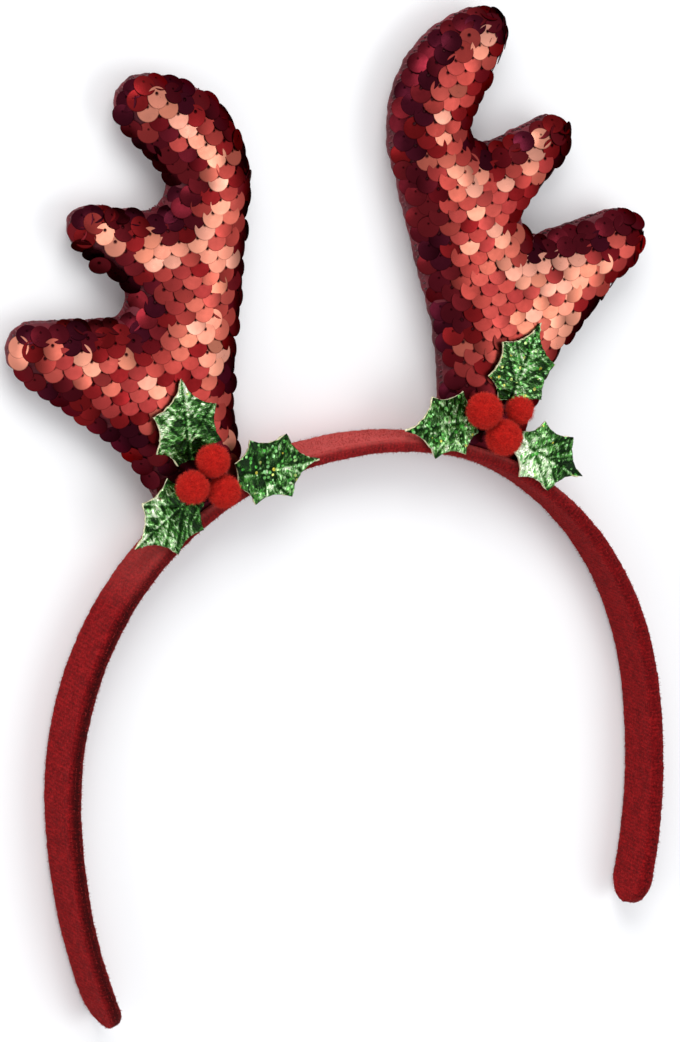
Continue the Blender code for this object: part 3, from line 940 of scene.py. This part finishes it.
def sequin_tone(name, x, y, distance, towards, rng):
    """Coral in the middle, painted shade in wine at the border, and painted highlights in peach in the
    streaks.
    """
    chance, shift = rng.random(), rng.uniform(-1.0, 1.0)
    if in_streak(PAINTED_HIGHLIGHT_STREAKS[name], x, y, chance):
        return rng.choice(PAINTED_HIGHLIGHT_PEACH)
    if in_streak(GLOW[name], x, y, chance):
        return rng.choice(CORAL)
    border = border_width(name, towards) + shift
    if distance < border:
        return rng.choice(PAINTED_SHADE_WINE if rng.random() < BORDER_WINE_SHARE else MIDDLE_RED)
    if distance < border + FRINGE_WIDTH and rng.random() < FRINGE_SHARE:
        return rng.choice(MIDDLE_RED)
    return rng.choice(MIDDLE_RED if rng.random() < INNER_RED_SHARE else CORAL)


def sequin_turn(normal, rng, tilt, spread):
    """Sequin axes on a slope: its hole points up the antler, and its free edge is lifted."""
    up = Vector((rng.gauss(0.0, 0.07), 1.0, 0.0))
    z = Vector(normal).normalized()
    y = (up - z * up.dot(z)).normalized()
    turn = Matrix((y.cross(z), y, z)).transposed()
    lift = Matrix.Rotation(math.radians(-tilt + rng.gauss(0.0, spread)), 3, "X")
    roll = Matrix.Rotation(math.radians(rng.gauss(0.0, spread)), 3, "Y")
    return turn @ lift @ roll


# The next three give each sequin's cup, place, normal, tone, tilt, spread of its set, and lift

def front_rows(name, seam, surface, hidden, rng):
    """Overlapping rows over the pad's front."""
    top = BAND_DEPTH * MM * 2
    low, high = seam.min(axis=0), seam.max(axis=0)
    for row in range(math.ceil((high[1] - low[1]) / SEQUIN_ROW) + 1):
        for column in range(math.ceil((high[0] - low[0]) / SEQUIN_PITCH) + 1):
            x = low[0] + (column + 0.5 * (row % 2)) * SEQUIN_PITCH + rng.gauss(0.0, SEQUIN_JITTER)
            y = low[1] + row * SEQUIN_ROW + rng.gauss(0.0, SEQUIN_JITTER)
            hit, normal = surface.ray_cast(Vector((x * MM, y * MM, top)), Vector((0, 0, -1)))[:2]
            if hit is None or is_covered(x, y, hidden):
                continue
            (distance,), (towards,), _along = nearest_on(seam, np.array([(x, y)]))
            if distance < SEQUIN_MARGIN:
                continue
            near_seam = distance < SHOULDER_WIDTH
            to_front = Vector((0.0, 0.0, SHOULDER_FRONT if near_seam else FACE_FRONT))
            spread = LOOSE_SPREAD if rng.random() < LOOSE_SHARE and not near_seam else SEQUIN_SPREAD
            # Sequins in a berry's shade get painted shade in wine
            berries = hidden[len(LEAF_NODES):]
            shaded = any(math.hypot(x - spot[0], y - spot[1]) < BERRY_SHADE for spot in berries)
            tone = rng.choice(PAINTED_SHADE_WINE) if shaded else sequin_tone(name, x, y, distance, towards, rng)
            yield (WALL_CUP if near_seam else SEQUIN_CUP, hit, (normal + to_front).normalized(), tone,
                   SEQUIN_TILT, spread, SEQUIN_LIFT)


def shoulder_row(name, seam, surface, hidden, rng, taken):
    """One row on the pad's side, which hangs from its thread on the lower side."""
    for spot, _along, out in walk(seam, WALL_PITCH, WALL_START):
        hangs = out[1] < -0.35 and out[0] < 0.2
        slope = HANGING_SLOPE if hangs else WALL_SLOPE[0] + WALL_SLOPE[1] * max(out[1], 0.0)
        slope = math.radians(slope + rng.uniform(-3.0, 3.0))
        aim = Vector((*(out * math.cos(slope)), math.sin(slope)))
        source = Vector((*((spot - out * WALL_INSET) * MM), SEAM_LEVEL * MM))
        hit, normal, _index, far = surface.ray_cast(source, aim)
        if hit is None or far > WALL_REACH * MM or normal.dot(aim) < 0.3:
            continue
        x, y = (hit / MM)[:2]
        if is_covered(x, y, hidden) or any((hit - other).length < WALL_CROWDING * MM for other in taken):
            continue
        # Painted highlight in peach in the streaks, else painted shade in wine or middle red
        lit = in_streak(PAINTED_HIGHLIGHT_STREAKS[name], x, y, 0.5)
        tone = rng.choice(PAINTED_HIGHLIGHT_PEACH if lit else PAINTED_SHADE_WINE if rng.random() < WALL_WINE_SHARE else MIDDLE_RED)
        spread = HANGING_SPREAD if hangs else SEQUIN_SPREAD
        yield WALL_CUP, hit, normal, tone, spread, spread, HANGING_LIFT if hangs else WALL_LIFT


def stray_sequins(name, surface, rng):
    """The ones on slack thread that stand off the edge."""
    for (x, y), lean in STRAYS[name]:
        centre = Vector((x * MM, y * MM, (SEAM_LEVEL + 2.5) * MM))
        normal = surface.find_nearest(centre)[1]
        side = Vector((normal.x, normal.y, 0.0)).normalized()
        facing = Vector((0, 0, 1)) * math.cos(math.radians(lean)) + side * math.sin(math.radians(lean))
        # A stray gets a painted dark reflection in wine
        yield SEQUIN_CUP, centre, facing, rng.choice(PAINTED_SHADE_WINE[:5]), 2.0, 4.0, 0.0


def sew_sequins(name, pad, seam, film):
    """Overlapping rows over the front, one row round the pad's shoulder, and a few on slack thread."""
    rng = random.Random(11 if name == "antler_left" else 23)
    surface = surface_of(pad.data)
    hidden = hidden_places()
    sewn = {SEQUIN_CUP: [], WALL_CUP: []}
    taken = []
    for cup, place, normal, tone, tilt, spread, lift in itertools.chain(
            front_rows(name, seam, surface, hidden, rng),
            shoulder_row(name, seam, surface, hidden, rng, taken),
            stray_sequins(name, surface, rng)):
        turn = np.array(sequin_turn(normal, rng, tilt, spread))
        sewn[cup].append((turn, np.array(place + normal * lift * MM), tone))
        taken.append(place)
    all_points, all_faces, all_colours = [], [], []
    for cup, stitched in sewn.items():
        shape, faces, rings = sequin_shape(cup, WALL_HOLE if cup == WALL_CUP else SEQUIN_HOLE)
        turns, places, tones = zip(*stitched)
        points, repeated = repeat(shape, faces, np.array(turns), places)
        first = sum(len(part) for part in all_points)
        all_faces += [tuple(corner + first for corner in face) for face in repeated]
        all_points.append(points)
        # Painted shade on the rim and round the hole
        shade = np.select((rings == rings.max(), rings == 0), (RIM_SHADE, HOLE_SHADE), 1.0)
        for tone in tones:
            # Now and then one side gets a painted reflection brighter than the other
            side = rng.gauss(0.0, 0.07) if rng.random() < 0.8 else rng.choice((-0.55, 0.55))
            gradient = 1.0 + side * shape[:, 0] / (SEQUIN_RADIUS * MM)
            colour = np.ones((len(shape), 4), np.float32)
            colour[:, :3] = np.array(linear(tone)[:3]) * (shade * gradient)[:, None]
            all_colours.append(colour)
    sequins = mesh_piece(f"{name}_sequins", np.concatenate(all_points), all_faces, film, sharp=35)
    store(sequins, "tone", np.concatenate(all_colours), "FLOAT_COLOR")
    wear(sequins, "red_sequins")


def stitch_shape():
    """One plump loop of thread, as points in metres and faces."""
    shape, faces = [], []
    for ring in range(STITCH_RINGS):
        share = ring / (STITCH_RINGS - 1)
        radius = STITCH_RADIUS * math.sqrt(max(0.08, 1 - (2 * share - 1) ** 4))
        arch = STITCH_ARCH * (1 - (2 * share - 1) ** 2)
        for side in range(STITCH_SIDES):
            angle = 2 * math.pi * side / STITCH_SIDES
            shape.append((radius * math.cos(angle), (share - 0.5) * STITCH_LENGTH,
                          arch + radius * math.sin(angle)))
    last = len(shape) - STITCH_SIDES
    for low in range(0, last, STITCH_SIDES):
        faces += quads_between(low, low + STITCH_SIDES, STITCH_SIDES, flipped=True)
    faces += [tuple(reversed(range(STITCH_SIDES))), tuple(range(last, len(shape)))]
    return np.array(shape) * MM, faces


def sew_seam(name, pad, seam, thread):
    """Whip stitches over the seam, each a short plump loop of thread."""
    rng = random.Random(5)
    surface = surface_of(pad.data)
    turns, places = [], []
    lean, wander = STITCH_SLANT
    for spot, along, _out in walk(seam, STITCH_PITCH):
        hit, normal = surface.find_nearest(Vector((*(spot * MM), SEAM_LEVEL * MM)))[:2]
        z = Vector((normal.x, normal.y, 0.0)).normalized()
        slant = Vector((*along, 0.0)) * (lean + rng.uniform(-wander, wander))
        y = (Vector((0, 0, 1)) + slant).normalized()
        turns.append(np.array(Matrix((y.cross(z), y, z)).transposed()))
        places.append(np.array(hit))
    shape, faces = stitch_shape()
    points, all_faces = repeat(shape, faces, np.array(turns), places)
    wear(mesh_piece(f"{name}_seam_stitches", points, all_faces, thread), "red_sequins")


def make_antler(name, satin, film, thread):
    """A stuffed cloth pad with its seam, its sequins and its stitches."""
    node = frame["nodes"][name]
    seam = seam_of(node)
    pad = stuffed(f"{name}_stuffed_pad", node, satin)
    draw_in_seam(pad, seam)
    wear(pad, "red_sequins", name)
    sew_sequins(name, pad, seam, film)
    sew_seam(name, pad, seam, thread)


# Holly leaves

def sides_of(outline):
    """The sides of a closed outline, each from one point to the next."""
    return zip(outline, outline[1:] + outline[:1])


def signed_area(outline):
    """The outline's area, which is negative where it runs clockwise."""
    return 0.5 * sum(here.cross(there) for here, there in sides_of(outline))


def fine_outline(node):
    """The leaf's cut outline in mm, in short steps round the top face of the frame's solid."""
    solid = merged_solid(node)
    solid.normal_update()
    top = {face for face in solid.faces if face.normal.z > 0.7}
    links = linked([edge for edge in solid.edges if len(top.intersection(edge.link_faces)) == 1])
    outline = [Vector((v.co.x, v.co.y)) / MM for v in follow(links, next(iter(links)))]
    solid.free()
    if signed_area(outline) < 0:
        outline.reverse()
    result = []
    for here, there in sides_of(outline):
        parts = max(1, round((there - here).length / LEAF_EDGE_STEP))
        result += [here.lerp(there, index / parts) for index in range(parts)]
    return result


def filled(outline):
    """The flat leaf as points and triangles: its outline and an even grid inside it."""
    low = Vector((min(p.x for p in outline), min(p.y for p in outline)))
    high = Vector((max(p.x for p in outline), max(p.y for p in outline)))
    row_height = LEAF_GRID * math.sqrt(3) / 2
    ring = outline[::2]
    spots = []
    for row in range(int((high.y - low.y) / row_height) + 1):
        for column in range(int((high.x - low.x) / LEAF_GRID) + 1):
            spot = low + Vector(((column + 0.5 * (row % 2)) * LEAF_GRID, row * row_height))
            if min((spot - p).length_squared for p in ring) > LEAF_EDGE_STEP ** 2:
                spots.append(spot)
    count = len(outline)
    edges = [(index, (index + 1) % count) for index in range(count)]
    inside_only = 1
    flat, _edges, triangles = delaunay_2d_cdt(outline + spots, edges, [], inside_only, 1e-6)[:3]
    return flat, triangles


def crinkle(along, across, seed):
    """Height of the foil's creases: sharp ridges, longer across the leaf than along it."""
    bend = waver(along, across, (5.0, 4.0), seed) * 2.2
    broad = waver(along, across, (1.7, 4.5), seed + 3.0, bend)
    fine = waver(along, across, (0.85, 2.2), seed + 7.0, bend)
    return (0.45 - abs(broad)) + (0.3 - abs(fine)) * 0.45


def vein_depth(along, across, length):
    """How deep the embossed veins press the foil in, as a share."""
    depth = math.exp(-(across / MIDRIB_WIDTH) ** 2)
    angle = math.radians(LEAF_VEIN_ANGLE)
    for share in LEAF_VEINS:
        past = along - share * length
        if past > -SIDE_VEIN_WIDTH:
            off = (abs(across) - past * math.tan(angle)) * math.cos(angle)
            depth = max(depth, SIDE_VEIN_SHARE * math.exp(-(off / SIDE_VEIN_WIDTH) ** 2))
    return depth


def make_leaf(name, foil, edge_cloth, seed):
    """Crinkled foil over a thin pad, die-cut to the leaf's outline, with embossed veins."""
    node = frame["nodes"][name]
    solid = surface_of(node.data)
    outline = fine_outline(node)
    centre = sum(outline, Vector((0.0, 0.0))) / len(outline)
    tip = max(outline, key=lambda p: (p - centre).length)
    axis = (tip - centre).normalized()
    length = max((tip - p).dot(axis) for p in outline)
    widest = max(abs((p - tip).cross(axis)) for p in outline)
    glitter, paleness, brighter = LEAF_LOOK[name]
    brighter = Vector(brighter)
    flat, triangles = filled(outline)
    points, creases, lies = [], [], []
    for spot in flat:
        hit = solid.ray_cast(Vector((spot.x * MM, spot.y * MM, 0.1)), Vector((0, 0, -1)))[0]
        if hit is None:
            hit = solid.find_nearest(Vector((spot.x, spot.y, LEAF_LEVEL)) * MM)[0]
        along = length + (spot - tip).dot(axis)
        across = (spot - tip).cross(axis)
        ridge = crinkle(along, across, seed)
        vein = vein_depth(along, across, length)
        glint = vein_depth(along, across - GLINT_SHIFT, length)
        facing = (spot - centre).dot(brighter) / brighter.length / LEAF_SHINE_REACH
        # Painted light in the foil's colour: highlights on ridges, shade in veins, a highlight by each vein
        # and more on the lit side
        creases.append(FOIL_GROUND + paleness + RIDGE_LIGHT * ridge + VEIN_LIGHT * vein
                       + GLINT_LIGHT * glint + max(-1.0, min(1.0, facing)) * brighter.length
                       + PATCH_LIGHT * waver(along, across, (5.0, 3.0), seed + 20.0))
        lies.append((along, across, seed))
        curl = LEAF_CURL * (abs(across) / widest) ** 2 * waver(along, seed, (6.0, 1.0), 0.5)
        height = LEAF_CRINKLE * ridge - LEAF_VEIN_DEPTH * vein + curl - LEAF_SINK
        points.append((spot.x * MM, spot.y * MM, hit.z + height * MM))
    leaf = mesh_piece(f"{name}_foil", points, triangles, foil, edge_cloth)
    store(leaf, "painted_foil_light", creases)
    store(leaf, "glitter", [glitter] * len(points))
    store(leaf, "lie", lies, "FLOAT_VECTOR")
    padding = leaf.modifiers.new("padding", "SOLIDIFY")
    padding.thickness = LEAF_THICKNESS * MM
    padding.offset = -1.0
    padding.material_offset_rim = 1
    leaf.data = applied(leaf)
    leaf.modifiers.clear()
    area = abs(signed_area(outline))
    wear(leaf, "green_foil", name)


# Berries

def make_berry(name, core_yarn, tip_yarn, seed):
    """A pompom: a lumpy core with dense trimmed fibre ends all over it."""
    low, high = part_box(name)
    centre = (low + high) / 2
    radius = (high.x - low.x) / 2 - POMPOM_HAIR[0] * MM * POMPOM_INSET
    ball = bmesh.new()
    bmesh.ops.create_icosphere(ball, subdivisions=5, radius=1.0)
    for vertex in ball.verts:
        lump = noise.noise(vertex.co * 2.6 + Vector((seed, 0, 0)))
        lump += 0.5 * noise.noise(vertex.co * 6.5 + Vector((0, seed, 0)))
        vertex.co = centre + vertex.co * (radius + POMPOM_LUMPS * MM * lump)
    mesh = bpy.data.meshes.new(name)
    ball.to_mesh(mesh)
    ball.free()
    core = piece_from_mesh(f"{name}_pompom", mesh, core_yarn)
    wear(core, "red_pompom", name)
    rng = np.random.default_rng(seed)
    count = int(POMPOM_HAIRS_PER_MM2 * 4 * math.pi * (radius / MM) ** 2)
    normals = rng.normal(size=(count, 3))
    normals /= np.linalg.norm(normals, axis=1)[:, None]
    roots = np.array(centre) + normals * radius
    wear(hairs(f"{name}_fibres", roots, normals, POMPOM_HAIR, tip_yarn, seed), "red_pompom")


# Studio

def make_camera():
    """The camera at the photo's angle, with the photo's framing."""
    turn, rise, roll = (math.radians(a) for a in (CAMERA_TURN, CAMERA_RISE, CAMERA_ROLL))
    look = Vector((math.sin(turn) * math.cos(rise), -math.sin(rise), -math.cos(turn) * math.cos(rise)))
    right = look.cross(Vector((0, 1, 0))).normalized()
    up = right.cross(look)
    tilted_right = right * math.cos(roll) + up * math.sin(roll)
    tilted_up = up * math.cos(roll) - right * math.sin(roll)
    data = bpy.data.cameras.new("photo_camera")
    data.sensor_width = SENSOR
    data.lens = SENSOR * CAMERA_FOCAL_PIXELS / IMAGE_HEIGHT
    data.clip_start, data.clip_end = 0.1, 20.0
    camera = bpy.data.objects.new("photo_camera", data)
    camera.matrix_world = Matrix((tilted_right, tilted_up, -look)).transposed().to_4x4()
    camera.location = (Vector(CAMERA_TARGET) - look * CAMERA_DISTANCE) * MM
    bpy.context.scene.collection.objects.link(camera)
    bpy.context.scene.camera = camera


def make_studio():
    """A pale floor just under the headband, even light from all round, and three soft boxes."""
    grid = bmesh.new()
    bmesh.ops.create_grid(grid, x_segments=1, y_segments=1, size=3.0)
    mesh = bpy.data.meshes.new("floor")
    grid.to_mesh(mesh)
    grid.free()
    floor = piece_from_mesh("floor", mesh, studio_floor())
    floor.location = (0.0, 0.0, -0.0002)
    world = bpy.data.worlds.new("studio")
    world.use_nodes = True
    world.node_tree.nodes.clear()
    glow = add_node(world.node_tree, "Background", {
        "Color": linear("#F4F6FA"), "Strength": GLOW_STRENGTH})
    add_node(world.node_tree, "OutputWorld", {"Surface": glow})
    bpy.context.scene.world = world
    for name, (place, size, watts) in SOFT_BOXES.items():
        data = bpy.data.lights.new(name, "AREA")
        data.shape = "RECTANGLE"
        data.size, data.size_y = size
        data.energy = watts
        lamp = bpy.data.objects.new(name, data)
        lamp.location = place
        lamp.rotation_euler = (-Vector(place)).to_track_quat("-Z", "Y").to_euler()
        bpy.context.scene.collection.objects.link(lamp)
    bpy.context.scene.view_settings.view_transform = "Standard"


for leftover in list(bpy.data.objects):
    bpy.data.objects.remove(leftover, do_unlink=True)
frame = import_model()
make_camera()
make_studio()
make_band(velour_knit(), velour_pile())
satin, film, thread = satin_backing(), sequin_film(), seam_thread()
for antler in ("antler_left", "antler_right"):
    make_antler(antler, satin, film, thread)
foil, edge_cloth = holographic_foil(), cut_cloth_edge()
for number, leaf_name in enumerate(LEAF_NODES):
    make_leaf(leaf_name, foil, edge_cloth, 4.0 + 11.0 * number)
core_yarn = pompom_yarn("acrylic_pompom_core", "#8E1010", "#BE2018")
tip_yarn = pompom_yarn("brushed_acrylic_fibre", "#B81C18", "#E03428")
for number, berry_name in enumerate(BERRY_NODES):
    make_berry(berry_name, core_yarn, tip_yarn, 31 + number)
